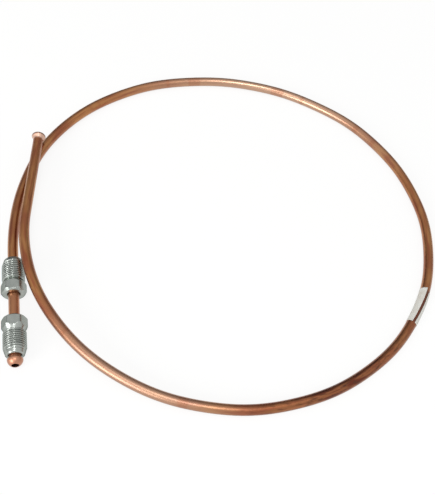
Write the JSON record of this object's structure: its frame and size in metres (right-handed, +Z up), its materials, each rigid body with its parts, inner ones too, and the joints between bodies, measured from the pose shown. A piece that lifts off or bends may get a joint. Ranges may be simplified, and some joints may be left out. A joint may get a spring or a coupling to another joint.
{
  "type": "flared copper tube coil",
  "caption": "Thin copper tube bent into a loop, flared at both ends, with loose male tube nuts on its straight run and a blank paper label wrapped round it.",
  "frame": {"origin": "middle of the part's bounding box in plan, on the floor it lies on", "axes": "+Z up from the floor, -Y along the straight run towards the flared tip that carries the end nut, +X across the loop away from that run"},
  "size_m": [0.2083, 0.201, 0.0132],
  "materials": {
    "copper": "satin",
    "zinc_steel": "satin",
    "label_paper": "matte"
  },
  "bodies": {
    "pipe": {"tube": "copper", "label": "label_paper"},
    "end_nut": {"end_nut": "zinc_steel"},
    "sliding_nut": {"sliding_nut": "zinc_steel"}
  },
  "joints": [
    {"name": "end_nut_spin", "type": "hinge", "parent": "pipe", "child": "end_nut", "pos_m": [-0.09858, -0.05437, 0.005], "axis": [0, -1, 0], "continuous": true},
    {"name": "sliding_nut_slide", "type": "slide", "parent": "pipe", "child": "sliding_nut", "axis": [0, 1, 0], "range_m": [-0.0115, 0]}
  ]
}
